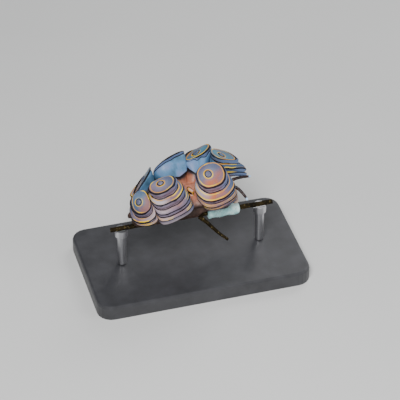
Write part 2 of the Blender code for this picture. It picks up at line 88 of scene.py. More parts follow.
CERATA = {
    "ceras_right_1": dict(
        USUAL, root=(4.0, -1.25, 5.8), disc=(3.5, -2.7, 11.7), facing=(0.05, -0.6, 0.8),
        size=(2.5, 2.9), heading=-78, hem=(5.6, -4.7, 5.0), width=3.5, bulge=1.0,
        rims=(0, 0.45, 0.77, 0.95), knob=(-0.25, -0.45),
        cool=0.25, warm_from=15, chill_from=95, blush=1.0, wall=0.15),
    "ceras_right_2": dict(
        USUAL, root=(-4.6, -1.25, 5.8), disc=(-6.3, -2.0, 10.9), facing=(-0.25, -0.1, 1.0),
        size=(2.1, 2.7), heading=-74, hem=(-3.5, -5.4, 4.45), width=3.9, bulge=0.65,
        rims=(0, 0.33, 0.64, 0.90), knob=(-0.3, -0.1), lean=-0.9,
        cool=0.15, warm_from=-50, chill_from=110, blush=0.2, wall=0.155),
    "ceras_right_3": dict(
        USUAL, root=(-8.8, -1.2, 5.0), disc=(-10.6, -2.5, 7.8), facing=(-0.62, -0.5, 0.6),
        size=(2.35, 2.2), heading=-118, hem=(-9.8, -4.5, 3.4), width=2.5, bulge=0.8,
        rims=(0, 0.42, 0.74, 0.92), knob=(0.0, -0.6), lean=-0.2,
        cool=0.5, warm_from=60, chill_from=-140, blush=0.7, wall=0.17),
    "ceras_left_1": dict(
        USUAL, root=(6.1, 1.5, 5.4), disc=(7.9, 3.6, 11.0), facing=(0.45, 0.05, 0.88),
        size=(2.9, 2.2), heading=8, hem=(12.8, 3.6, 4.7), width=3.0,
        rims=(0, 0.64, 0.90), inner=(1.8, 1.7), stalk=1.1, knob=(-0.5, -0.2),
        cool=0.8, warm_from=60, chill_from=-50, blush=0.5, wall=0.19, fine=0.88),
    "ceras_left_2": dict(
        USUAL, root=(1.1, 1.6, 5.9), disc=(3.2, 6.0, 11.0), facing=(-0.31, 0.19, 0.93),
        size=(1.5, 3.0), heading=86, hem=(2.9, 8.6, 5.5), width=3.6,
        inner=(2.2, 2.4), stalk=1.8, open=0.0, knob=(0.0, 0.25),
        cool=0.9, wall=0.19, wave=0.04, fine=0.72),
    "ceras_left_3": dict(
        USUAL, root=(-1.4, 1.6, 5.9), disc=(-2.75, 5.5, 10.1), facing=(-0.37, 0.85, 0.38),
        size=(2.6, 3.8), heading=105, hem=(-3.0, 8.0, 4.6), width=3.7,
        inner=(2.3, 2.4), stalk=1.9, open=0.1, knob=(0.0, 0.3),
        cool=0.8, wall=0.16, fine=0.75),
    "ceras_left_4": dict(
        USUAL, root=(-7.5, 1.3, 5.0), disc=(-8.85, 3.1, 8.7), facing=(-0.76, 0.46, 0.46),
        size=(3.1, 2.8), heading=150, hem=(-9.9, 5.0, 3.9), width=3.2, bulge=0.8,
        inner=(2.3, 2.2), stalk=1.5, open=-0.1, knob=(-0.2, 0.2),
        cool=0.6, fine=0.9),
}
PRESSED = (
    ("ceras_right_2", "ceras_right_3", (-8.35, -4.5, 6.3), (1.0, 0.1, 0.25)),
    ("ceras_left_1", "ceras_left_2", (5.4, 4.6, 9.0), (0.8, -0.6, 0.0)),
    ("ceras_left_2", "ceras_left_3", (0.1, 4.0, 8.0), (1.0, -0.1, 0.0)),
    ("ceras_left_3", "ceras_left_4", (-6.3, 4.0, 6.0), (1.0, 0.1, 0.1)),
)
PRESSED_CLEAR = -0.15
MERGED, MERGED_CLEAR = ("ceras_left_2", "ceras_left_3"), -0.55

# Head
SHEATH_ROOT, SHEATH_LIP = (7.7, 0.85, 5.6), (8.9, 1.05, 6.5)
SHEATH_LOW_RADIUS, SHEATH_LIP_RADIUS = 0.6, 1.0
POCKET_RADIUS, POCKET_DEPTH = 0.68, 0.6
RHINOPHORE_RADIUS, RHINOPHORE_TIP_RADIUS = 0.37, 0.25
RHINOPHORE_TIPS = {"left": (13.0, 1.1, 6.5), "right": (10.9, -3.7, 4.4)}
VEIL = (((9.0, 0.0, 3.15), (0.95, 1.5, 0.42)), ((8.95, 1.35, 3.0), (0.75, 0.8, 0.42)),
        ((8.95, -1.35, 3.0), (0.75, 0.8, 0.42)))
MOUTH, MOUTH_SIZE, MOUTH_DEPTH = (9.3, 0.0, 2.62), (0.9, 0.5, 0.16), 0.45
EYES = ((7.35, 1.6, 4.7), (7.35, -1.6, 4.7))
EYE_RADIUS, EYE_SUNK = 0.13, 0.55
PAPILLA_BASE, PAPILLA_TIP, PAPILLA_RADIUS = (-0.7, -0.4, 7.25), (0.15, -1.8, 7.15), 0.5

# Where the coloured lines lie. A profile runs from 0 at the knob's middle past a rim at each
# whole number up to 4 and the underside at 5 to 6 at the stalk. Each line has a place, a half
# width in millimetres and a kind. Points off the cerata have NO_LINE, and FAR from the papilla's
# ring. A line that is narrower than THINNEST_LINE isn't drawn.
DARK, GOLD, PALE = "dark", "gold", "pale"
NO_LINE, FAR, THINNEST_LINE = -2.0, 9.0, 0.012
LINES = (
    (0.00, 0.00, PALE), (0.20, 0.11, DARK), (0.32, 0.11, GOLD), (0.89, 0.08, GOLD),
    (1.06, 0.23, DARK), (1.57, 0.14, DARK), (1.65, 0.10, GOLD), (1.90, 0.11, GOLD),
    (2.00, 0.21, DARK), (2.59, 0.13, DARK), (2.71, 0.07, GOLD), (2.88, 0.05, GOLD),
    (3.00, 0.18, DARK), (3.59, 0.12, DARK), (3.72, 0.05, GOLD), (3.88, 0.04, GOLD),
    (4.00, 0.12, DARK), (4.50, 0.09, DARK), (6.00, 0.00, PALE),
)
LAST_LINE = float(len(LINES) - 1)

# Fixed colours. A pair is the dark and the light of one mottled surface, and where a colour has
# a number before it, that is the share of the noise where it lies.
COOL_FACE, COOL_WALL, PALE_ZONE = (0.06, 0.25, 0.34), (0.045, 0.125, 0.22), (0.75, 0.72, 0.80)
CHILL_FACE, CHILL_WALL, PALE_SIDE = (0.042, 0.090, 0.175), (0.085, 0.135, 0.27), (0.56, 0.55, 0.62)
SHADED_PATCHES = ((0.34, (0.60, 0.55, 0.62)), (0.50, (0.82, 0.82, 0.82)), (0.66, (1.0, 1.0, 1.0)))
INNER_BLUES = ((0.34, (0.05, 0.12, 0.19)), (0.50, (0.09, 0.21, 0.37)), (0.68, (0.19, 0.24, 0.42)))
PALE_LINE, YELLOW_LINE, SPECKLE = (0.5, 0.5, 0.55), (0.85, 0.58, 0.01), (0.85, 0.83, 0.88)
# Painted shade: near black for the slot under the inner hems of the far cerata, where the hem
# overhangs the back
PAINTED_SLOT_SHADE = (0.012, 0.008, 0.010)
FLESH_LIGHT, FRECKLE = (0.7, 0.55, 0.5), (0.12, 0.05, 0.04)
# The foot's dark brown, partly its own colour and partly painted shade under the body
FOOT_AND_SHADE = ((0.014, 0.005, 0.002), (0.036, 0.015, 0.008))
VEIL_EDGE, PAPILLA_PINK = (0.60, 0.44, 0.34), (0.60, 0.34, 0.28)
RHINOPHORE, RHINOPHORE_TIP = ((0.006, 0.002, 0.002), (0.022, 0.006, 0.005)), (0.40, 0.55, 0.75)
STEM, STEM_SPECK = ((0.005, 0.0035, 0.0012), (0.021, 0.014, 0.004)), (0.20, 0.15, 0.06)
CRUST, CRUST_SPECK = ((0.30, 0.60, 0.60), (0.68, 0.92, 0.90)), (0.30, 0.36, 0.30)
PLATE = ((0.3, (0.028, 0.028, 0.031)), (0.7, (0.045, 0.045, 0.050)))
STEEL = ((0.3, (0.50, 0.50, 0.52)), (0.7, (0.66, 0.66, 0.68)))
EYE = ((0.006, 0.005, 0.008), (0.02, 0.014, 0.02))
FLOOR = ((0.3, (0.60, 0.60, 0.59)), (0.7, (0.64, 0.64, 0.63)))

# The picture: a long lens, with the photograph's scale and the pixel that shows the stem's axis
CAMERA_AZIMUTH, CAMERA_ELEVATION = -16.0, 38.0
MM_PER_PIXEL, IMAGE_PIXELS = 0.2, 400
STEM_PIXEL = (190.0, 216.0)
LENS, SENSOR = 200.0, 36.0
AIM_ABOVE_STEM = 0.004
LIGHTS = (("key", (-0.10, -0.22, 0.30), 0.14, 1.9), ("fill", (0.28, -0.18, 0.16), 0.22, 0.45),
          ("rim", (0.22, 0.22, 0.26), 0.20, 0.6))
SKY, SKY_STRENGTH = (0.80, 0.85, 0.92, 1.0), 0.20
FLOOR_HALF_SIZE, FLOOR_DROP = 0.9, 0.00005


class SlugSettings(PropertyGroup):
    """Sizes and colours that a user would change."""
    grain: FloatProperty(name="Surface grid", description="Spacing of the skin's mesh lines",
                         default=0.000085, min=0.00004, max=0.0005, unit="LENGTH", precision=6)
    voxel: FloatProperty(name="Body fineness", description="Size of the cells that fuse the body",
                         default=0.00011, min=0.00008, max=0.0005, unit="LENGTH", precision=6)
    sides: IntProperty(name="Cerata sides", description="Points round each ceras",
                       default=224, min=32, max=400)
    face: FloatVectorProperty(name="Disc face", description="Lilac of the disc faces",
                              default=(0.21, 0.22, 0.31), subtype="COLOR", min=0, max=1)
    wall: FloatVectorProperty(name="Disc wall", description="Blue of the walls between rims",
                              default=(0.056, 0.048, 0.118), subtype="COLOR", min=0, max=1)
    warm: FloatVectorProperty(name="Warm blush", description="Orange blush on the faces",
                              default=(0.50, 0.125, 0.025), subtype="COLOR", min=0, max=1)
    dark: FloatVectorProperty(name="Dark line", description="Black of the fine lines",
                              default=(0.006, 0.004, 0.005), subtype="COLOR", min=0, max=1)
    gold: FloatVectorProperty(name="Gold line", description="Yellow-orange of the fine lines",
                              default=(0.62, 0.29, 0.015), subtype="COLOR", min=0, max=1)
    flesh: FloatVectorProperty(name="Flesh", description="Colour of the body's sides",
                               default=(0.20, 0.12, 0.10), subtype="COLOR", min=0, max=1)
    back: FloatVectorProperty(name="Back", description="Orange of the body's back",
                              default=(0.44, 0.14, 0.070), subtype="COLOR", min=0, max=1)


def unit(vector):
    """The vector with a length of one."""
    vector = np.asarray(vector, float)
    return vector / np.linalg.norm(vector)


def smooth_step(value):
    """A soft step from 0 to 1, held at both ends."""
    value = np.clip(value, 0.0, 1.0)
    return value * value * (3.0 - 2.0 * value)


def mirrored(point, side):
    """The point itself for side 1, and its twin on the animal's right for side -1."""
    return np.array((point[0], point[1] * side, point[2]))


def section_frame(direction):
    """Two directions across the given one."""
    along = unit(direction)
    upright = abs(along[2]) >= 0.95
    side = np.array((0.0, 1.0, 0.0)) if upright else unit(np.cross((0.0, 0.0, 1.0), along))
    return side, np.cross(along, side)


# Meshes. A shell is its points in millimetres, its faces and its named point values.


def shell_from_rings(rings, values=None):
    """A grid of quads through rings of equal count, closed by a fan at each end."""
    rings = np.asarray(rings, float)
    count, sides = rings.shape[:2]
    index = np.arange(count * sides).reshape(count, sides)
    after = np.roll(index, -1, axis=1)
    quads = np.stack([index[:-1], after[:-1], after[1:], index[1:]], -1).reshape(-1, 4)
    faces = [tuple(quad) for quad in quads.tolist()]
    points = [rings.reshape(-1, 3)]
    given = {name: [value.reshape(-1)] for name, value in (values or {}).items()}
    for end, row in enumerate((0, -1)):
        middle = count * sides + end
        points.append(rings[row].mean(axis=0)[None])
        for name, parts in given.items():
            parts.append(np.array([values[name][row].mean()]))
        for a, b in zip(index[row].tolist(), after[row].tolist()):
            faces.append((a, b, middle) if end else (b, a, middle))
    given = {name: np.concatenate(parts) for name, parts in given.items()}
    return np.concatenate(points), faces, given


def tube_rings(path, radii, sides):
    """Round sections along a path."""
    path = [np.asarray(point, float) for point in path]
    angles = np.arange(sides) * TAU / sides
    cos, sin = np.cos(angles)[:, None], np.sin(angles)[:, None]
    rings = []
    for index, (point, radius) in enumerate(zip(path, radii)):
        before, after = path[max(index - 1, 0)], path[min(index + 1, len(path) - 1)]
        side, up = section_frame(after - before)
        rings.append(point + radius * (cos * side + sin * up))
    return np.array(rings)


def make_object(name, shells):
    """One object from shells, with their point values as float attributes."""
    points, faces, start = [], [], 0
    names = sorted({key for shell in shells for key in shell[2]})
    values = {key: [] for key in names}
    for shell_points, shell_faces, shell_values in shells:
        points.append(shell_points)
        faces.extend(tuple(i + start for i in face) for face in shell_faces)
        for key in names:
            values[key].append(shell_values.get(key, np.zeros(len(shell_points))))
        start += len(shell_points)
    points = (np.concatenate(points) + (0.0, 0.0, STEM_HEIGHT)) * MM
    mesh = bpy.data.meshes.new(name)
    mesh.from_pydata(points.tolist(), [], faces)
    for key in names:
        layer = mesh.attributes.new(key, "FLOAT", "POINT")
        layer.data.foreach_set("value", np.concatenate(values[key]).astype(np.float32))
    mesh.validate()
    mesh.shade_smooth()
    made = bpy.data.objects.new(name, mesh)
    bpy.context.collection.objects.link(made)
    fix_facing(mesh)
    return made


def fix_facing(mesh):
    """Turn all faces outwards."""
    shape = bmesh.new()
    shape.from_mesh(mesh)
    bmesh.ops.recalc_face_normals(shape, faces=shape.faces)
    shape.to_mesh(mesh)
    shape.free()


# Cerata


def press_clear(points, name):
    """Squeeze a ceras off the planes that it shares with its neighbours and the midline."""
    side = -1.0 if "_right_" in name else 1.0
    planes = [((0.0, side * MIDLINE_CLEAR, 0.0), (0.0, side, 0.0))]
    planes += [(point, way) for cleared, point, way in HEAD_CLEAR if cleared == name]
    for first, second, point, way in PRESSED:
        clear = MERGED_CLEAR if (first, second) == MERGED else PRESSED_CLEAR
        if name == first:
            planes.append((np.array(point) + clear * unit(way), way))
        if name == second:
            planes.append((np.array(point) - clear * unit(way), -np.array(way)))
    for point, way in planes:
        way = unit(way)
        depth = (points - np.array(point)) @ way
        shallow = np.minimum(depth, CLAMP_DEPTH)
        squeezed = CLAMP_DEPTH * np.exp((shallow - CLAMP_DEPTH) / CLAMP_DEPTH)
        kept = np.where(depth < CLAMP_DEPTH, squeezed, depth)
        points = points + (kept - depth)[..., None] * way
    return points


def oval_reach(angle, halves, middle, power):
    """How far out a squarish oval lies at each angle, seen from a point inside it."""
    low, high = np.zeros(len(angle)), np.full(len(angle), 30.0)
    for _ in range(40):
        reach = (low + high) / 2.0
        away = (np.abs((reach * np.cos(angle) - middle[0]) / halves[0]) ** power
                + np.abs((reach * np.sin(angle) - middle[1]) / halves[1]) ** power)
        low, high = np.where(away < 1.0, reach, low), np.where(away < 1.0, high, reach)
    return low


def refine(rows, counts):
    """Rows between the given ones, on a smooth curve through them."""
    made = []
    last = len(rows) - 1
    for index, count in enumerate(counts):
        before, here = rows[max(index - 1, 0)], rows[index]
        there, beyond = rows[index + 1], rows[min(index + 2, last)]
        for step in range(count):
            t = step / count
            made.append(0.5 * (2 * here + (there - before) * t
                               + (2 * before - 5 * here + 4 * there - beyond) * t ** 2
                               + (3 * here - before - 3 * there + beyond) * t ** 3))
    made.append(rows[-1])
    return np.array(made)


def ceras_shell(name, settings):
    """A stack of discs as one fine grid, with the values that colour it."""
    spec = CERATA[name]
    sides = settings.sides
    random = np.random.default_rng(sorted(CERATA).index(name) + FIRST_CERAS_SEED)
    root, disc = np.array(spec["root"]), np.array(spec["disc"])
    tall = np.linalg.norm(disc - root)
    axis = (disc - root) / tall
    heading = math.radians(spec["heading"])
    outward = np.array((math.cos(heading), math.sin(heading), 0.0))
    outward = unit(outward - (outward @ axis) * axis)
    across = np.cross(axis, outward)
    facing = unit(spec["facing"])

    angle = np.arange(sides) * TAU / sides
    cos, sin = np.cos(angle), np.sin(angle)
    spoke = cos[:, None] * outward + sin[:, None] * across
    tilt = -(spoke @ facing) / (axis @ facing)
    along_half, across_half = spec["size"]
    disc_reach = oval_reach(angle, (along_half, across_half), (0.0, 0.0), DISC_POWER)
    disc_reach = disc_reach / np.sqrt(1.0 + tilt * tilt)
    disc_rise = tall + tilt * disc_reach

    hem = np.array(spec["hem"]) - root
    inner_reach, inner_rise = spec["inner"]
    hem_middle = (hem @ outward - inner_reach) / 2.0
    hem_half = (hem @ outward + inner_reach) / 2.0
    hem_shift = hem @ across
    hem_reach = oval_reach(angle, (hem_half, spec["width"]), (hem_middle, hem_shift), HEM_POWER)
    outer = (1.0 + cos) / 2.0
    hem_rise = inner_rise + (hem @ axis - inner_rise) * outer ** HEM_CURVE + spec["lean"] * sin
    tiered = smooth_step((cos - spec["open"]) / 0.5)
    bulge = spec["bulge"] * outer ** BULGE_CURVE

    def wobble(size):
        phases = random.uniform(0.0, TAU, 4)
        return size * sum(np.sin((k + 2) * angle + phases[k]) / (k + 1.5) for k in range(4))

    wave = CALM_WAVE + spec["wave"] * (1.0 - WAVE_LOST_OUTSIDE * tiered)
    waves = wave * np.sin(WAVES_ROUND * angle)
    wall_deep = spec["wall"]

    def wall(part, proud):
        low = smooth_step((part - 0.5) / 0.4)
        part = part + waves * smooth_step(part / wall_deep) * (1.0 - low)
        run, fall = hem_reach - disc_reach, hem_rise - disc_rise
        reach = disc_reach + run * part + bulge * np.sin(math.pi * part)
        rise = disc_rise + fall * part
        slope = run + bulge * math.pi * np.cos(math.pi * part)
        length = np.hypot(slope, fall)
        return reach - proud * fall / length, rise + proud * slope / length

    rows, bands = [], []

    def add(row, band):
        rows.append(np.array(row))
        bands.append(band)

    full = np.ones(sides)
    add((0.02 * full, tall + 0.02 * tilt + KNOB_RISE * 1.1), 0.0)
    add((KNOB_RADIUS * 0.5 * full, tall + tilt * KNOB_RADIUS * 0.5 + KNOB_RISE), 0.10)
    add((KNOB_RADIUS * full, tall + tilt * KNOB_RADIUS + 0.05), 0.20)
    middle_reach = disc_reach * 0.55
    add((middle_reach, tall + tilt * middle_reach + wobble(FACE_WOBBLE)), 0.55)
    edge_reach = disc_reach * 0.9
    add((edge_reach, tall + tilt * edge_reach + wobble(EDGE_WOBBLE)), 0.88)
    rims = spec["rims"]
    for tier, part in enumerate(rims):
        lowest = tier == len(rims) - 1
        following = part + LOWEST_WALL if lowest else rims[tier + 1]
        deep = min(wall_deep, WALL_SHARE * (following - part))
        relief = tiered if tier else 0.4 + 0.6 * tiered
        ripple = wobble(RIM_WOBBLE) * relief
        if tier:
            add(wall(part, PROUD * relief + ripple), tier + 1.0)
        else:
            add((disc_reach + ripple, disc_rise - 0.05), 1.0)
        add(wall(part + deep * 0.5, 0.9 * PROUD * relief + ripple), tier + 1.25)
        add(wall(part + deep, -GROOVE * relief * (not lowest) + 0.5 * ripple), tier + 1.5)
        if not lowest:
            between = (part + deep + following) / 2.0
            add(wall(between, 0.05 * relief + wobble(BETWEEN_WOBBLE) * relief), tier + 1.75)
    stalk = spec["stalk"]
    under_reach = stalk + (hem_reach - stalk) * 0.3
    add((under_reach, hem_rise * 0.85 - 0.1), 5.0)
    add((stalk * full, -0.4 * full), 6.0)

    rows = np.array(rows)
    lengths = np.sqrt(((rows[1:] - rows[:-1]) ** 2).sum(axis=1)).max(axis=1)
    counts = [max(3, int(length * MM / settings.grain)) for length in lengths]
    fine = refine(rows, counts)
    steps = np.concatenate([[0], np.cumsum(counts)])
    band = np.interp(np.arange(len(fine)), steps, bands)
    reach, rise = np.maximum(fine[:, 0], 0.0), fine[:, 1]
    rings = root + rise[..., None] * axis + reach[..., None] * spoke
    aside = spec["knob"][0] * outward + spec["knob"][1] * across
    aside = aside - (aside @ facing) / (axis @ facing) * axis
    rings = rings + (1.0 - smooth_step((band - 0.2) / 0.65))[:, None, None] * aside
    rings = press_clear(rings, name)

    line = np.interp(band, [place for place, _, _ in LINES], range(len(LINES)))
    run = np.zeros(rings.shape[:2])
    run[1:] = np.cumsum(np.linalg.norm(rings[1:] - rings[:-1], axis=2), axis=0)
    pitch = np.gradient(run, axis=0) / np.gradient(line)[:, None] * spec["fine"]
    on_face = smooth_step((band - 0.2) / 0.45)[:, None]
    on_tiers = smooth_step((band - 0.9) / 0.5)[:, None]
    low_tiers = smooth_step((band - 2.2) / 0.6)[:, None]

    def towards(degrees, share=0.5):
        return smooth_step((np.cos(angle - math.radians(degrees)) - share + 0.7) / 0.9)[None]

    near_root = 1.0 - smooth_step((rings - root) @ axis / 3.2)
    under = (band > 4.6)[:, None]
    warm = towards(spec["warm_from"]) * on_face * (1.0 - 0.6 * low_tiers) * spec["blush"]
    pale = towards(spec["chill_from"] + 180.0, 1.1) * on_tiers * (1.0 - 0.6 * low_tiers)
    values = {
        "line": np.repeat(line[:, None], sides, axis=1),
        "pitch": pitch,
        "tier": np.repeat(tiered[None], len(fine), axis=0),
        "cool": np.full(rings.shape[:2], spec["cool"]),
        "warm": warm * (1.0 - towards(spec["chill_from"], 0.9) * on_tiers),
        "chill": towards(spec["chill_from"], 0.5) * (0.4 + 0.6 * on_tiers) * on_face,
        "pale": pale * (1.0 - spec["cool"]),
        "root": near_root * np.maximum(1.0 - tiered, under),
    }
    return shell_from_rings(rings, values=values)


# Body


def body_ring(x):
    """One section of the body: a rounded hump that narrows to the tail and the snout."""
    along = (x - BODY_START) / (BODY_END - BODY_START)
    tail = math.sqrt(min(max(along / 0.36, 0.0), 1.0))
    snout = math.sqrt(min(max((1.0 - along) / 0.15, 0.0), 1.0))
    half_width = 0.3 + (BODY_HALF_WIDTH - 0.3) * tail * snout
    slope = 1.0 - 0.42 * smooth_step((along - 0.62) / 0.38)
    height = 0.7 + (BODY_HEIGHT - 0.7) * tail ** 1.5 * (0.35 + 0.65 * snout) * slope
    angle = np.arange(BODY_SIDES) * TAU / BODY_SIDES
    rise = (1.0 - np.cos(angle)) / 2.0
    across = half_width * np.sin(angle) * (1.0 - 0.38 * rise ** 2)
    return np.stack([np.full(BODY_SIDES, x), across, BODY_BOTTOM + height * rise], -1)


def foot_ring(x):
    """One section of the foot, grooved round the stem or the crust on it."""
    over_crust = smooth_step((x - CRUST_START + 2.6) / 1.6)
    groove = STEM_RADIUS + 0.12 + (CRUST_RADIUS - STEM_RADIUS) * over_crust
    low = 0.3 + 0.95 * over_crust
    reach = math.acos(low / groove)
    ends = min((x - FOOT_START) / 3.0, (FOOT_END - x) / 1.2, 1.0)
    wide = max(0.45 + (FOOT_HALF_WIDTH - 0.45) * math.sqrt(max(ends, 0.0)),
               groove * math.sin(reach) + 0.5)
    blunt = math.sqrt(min(max(min(x - FOOT_START, FOOT_END - x), 0.0) / 0.8, 1.0))
    wide *= 0.7 + 0.3 * blunt
    low += (FOOT_TOP - 0.25 - low) * (1.0 - blunt)
    reach = math.acos(min(low / groove, 0.99))
    arc = [(groove * math.sin(a), groove * math.cos(a)) for a in np.linspace(reach, -reach, 17)]
    top = FOOT_TOP + 1.0
    flank = [(-wide + 0.1, low), (-wide, (low + FOOT_TOP) / 2), (-wide + 0.2, FOOT_TOP),
             (-wide * 0.7, top), (wide * 0.7, top),
             (wide - 0.2, FOOT_TOP), (wide, (low + FOOT_TOP) / 2), (wide - 0.1, low)]
    return [(x, y, z) for y, z in arc + flank]


def ellipsoid_rings(centre, radii, rings=14, sides=24):
    made = []
    for step in range(rings + 1):
        polar = math.pi * (0.03 + 0.94 * step / rings)
        angle = np.arange(sides) * TAU / sides
        made.append(np.stack([centre[0] + radii[0] * math.sin(polar) * np.cos(angle),
                              centre[1] + radii[1] * math.sin(polar) * np.sin(angle),
                              np.full(sides, centre[2] + radii[2] * math.cos(polar))], -1))
    return made


def sheath_rings(side):
    """A rhinophore's sheath: a flared cup with a pocket for the stalk."""
    root, lip = mirrored(SHEATH_ROOT, side), mirrored(SHEATH_LIP, side)
    along = unit(lip - root)
    floor = lip - along * POCKET_DEPTH
    path = (root - along * 0.5, root, root + (lip - root) * 0.5, lip - along * 0.15, lip,
            lip, lip - along * 0.3, floor)
    radii = (SHEATH_LOW_RADIUS * 1.4, SHEATH_LOW_RADIUS, SHEATH_LOW_RADIUS * 1.1,
             SHEATH_LIP_RADIUS, SHEATH_LIP_RADIUS * 0.94,
             POCKET_RADIUS * 1.08, POCKET_RADIUS, POCKET_RADIUS * 0.94)
    side_way, up_way = section_frame(along)
    angle = np.arange(32) * TAU / 32
    circle = np.cos(angle)[:, None] * side_way + np.sin(angle)[:, None] * up_way
    return [point + radius * circle for point, radius in zip(path, radii)]


def papilla_rings():
    base, tip = np.array(PAPILLA_BASE), np.array(PAPILLA_TIP)
    path = [base + (tip - base) * t for t in (-0.3, 0.0, 0.5, 0.85, 1.0, 1.0, 0.8)]
    radii = [PAPILLA_RADIUS * r for r in (1.3, 1.0, 1.0, 0.95, 0.75, 0.45, 0.3)]
    return tube_rings(path, radii, 24)


def stalk_rings(name):
    """The foot of a ceras, from inside the body to a little way up, to fuse with the body."""
    spec = CERATA[name]
    root, disc = np.array(spec["root"]), np.array(spec["disc"])
    axis = unit(disc - root)
    return tube_rings([root - 0.8 * axis, root, root + 0.9 * axis, root + 1.5 * axis],
                      [spec["stalk"] + extra for extra in (0.4, 0.25, 0.05, -0.3)], 28)


def fused_body(settings):
    """Points and faces of body, foot, sheaths, veil and stalks fused into one surface."""
    shells = [shell_from_rings([body_ring(x) for x in np.linspace(BODY_START, BODY_END, 150)]),
              shell_from_rings([foot_ring(x) for x in np.linspace(FOOT_START, FOOT_END, 90)]),
              shell_from_rings(papilla_rings())]
    shells += [shell_from_rings(sheath_rings(side)) for side in (1.0, -1.0)]
    shells += [shell_from_rings(ellipsoid_rings(centre, radii)) for centre, radii in VEIL]
    shells += [shell_from_rings(stalk_rings(name)) for name in CERATA]
    rough = make_object("body_rough", shells)
    fuse = rough.modifiers.new("fuse", "REMESH")
    fuse.mode = "VOXEL"
    fuse.voxel_size = settings.voxel
    soften = rough.modifiers.new("soften", "SMOOTH")
    soften.factor, soften.iterations = 0.5, 6
    bpy.context.view_layer.update()
    evaluated = rough.evaluated_get(bpy.context.evaluated_depsgraph_get())
    mesh = bpy.data.meshes.new_from_object(evaluated)
    points = np.empty(len(mesh.vertices) * 3)
    mesh.vertices.foreach_get("co", points)
    points = points.reshape(-1, 3) / MM - (0.0, 0.0, STEM_HEIGHT)
    faces = [tuple(face.vertices) for face in mesh.polygons]
    bpy.data.objects.remove(rough)
    return points, faces


def body_shell(settings):
    """The fused body with its mouth pressed in, and the values that colour it."""
    points, faces = fused_body(settings)
    inside = 1.0 - (((points - MOUTH) / MOUTH_SIZE) ** 2).sum(axis=1)
    points[:, 0] -= MOUTH_DEPTH * smooth_step(inside)
    x, y, z = points.T

    back = smooth_step((z - 3.6) / 2.6)
    on_head = smooth_step((x - 6.4) / 1.4) * smooth_step((z - 2.1) / 0.5)
    # Darker towards the bottom: the foot's own dark colour, partly painted shade under the body
    foot = (1.0 - smooth_step((z - 2.8) / 1.7)) * (1.0 - 0.85 * on_head)
    (veil_x, _, veil_z), (veil_long, veil_wide, _) = VEIL[0]
    rim = np.hypot((x - veil_x) / veil_long, y / (veil_wide + 0.6))
    rim = 1.0 - smooth_step(np.abs(rim - 1.0) / 0.16)
    rim = rim * (x > veil_x - 0.4) * (np.abs(z - veil_z) < 0.6)
    nearest_eye = np.min([np.linalg.norm(points - eye, axis=1) for eye in EYES], axis=0)
    pale = np.maximum(rim, 1.0 - smooth_step((nearest_eye - 0.12) / 0.35))
    lip = np.zeros(len(points))
    for side in (1.0, -1.0):
        middle = mirrored(SHEATH_LIP, side)
        along = unit(middle - mirrored(SHEATH_ROOT, side))
        offset = points - middle
        rise = offset @ along
        reach = np.linalg.norm(offset - rise[:, None] * along, axis=1)
        lip = np.maximum(lip, (1.0 - smooth_step(np.abs(rise) / 0.22)) * (reach < 1.3))
    along = np.array(PAPILLA_TIP) - np.array(PAPILLA_BASE)
    long = np.linalg.norm(along)
    sideways = unit(np.cross(along, (0.0, 0.0, 1.0)))
    offset = points - np.array(PAPILLA_BASE)
    ahead = offset @ unit(along)
    vent = np.hypot((offset @ sideways) / 0.46, (ahead - 0.62 * long) / (0.58 * long))
    vent = np.where((z > 6.3) & (np.abs(ahead) < 2.0 * long), vent, FAR)
    values = {"line": np.full(len(points), NO_LINE), "pitch": np.ones(len(points)),
              "back": back, "foot": foot, "lip": lip, "vent": vent, "edge": pale}
    return points, faces, values


# Materials


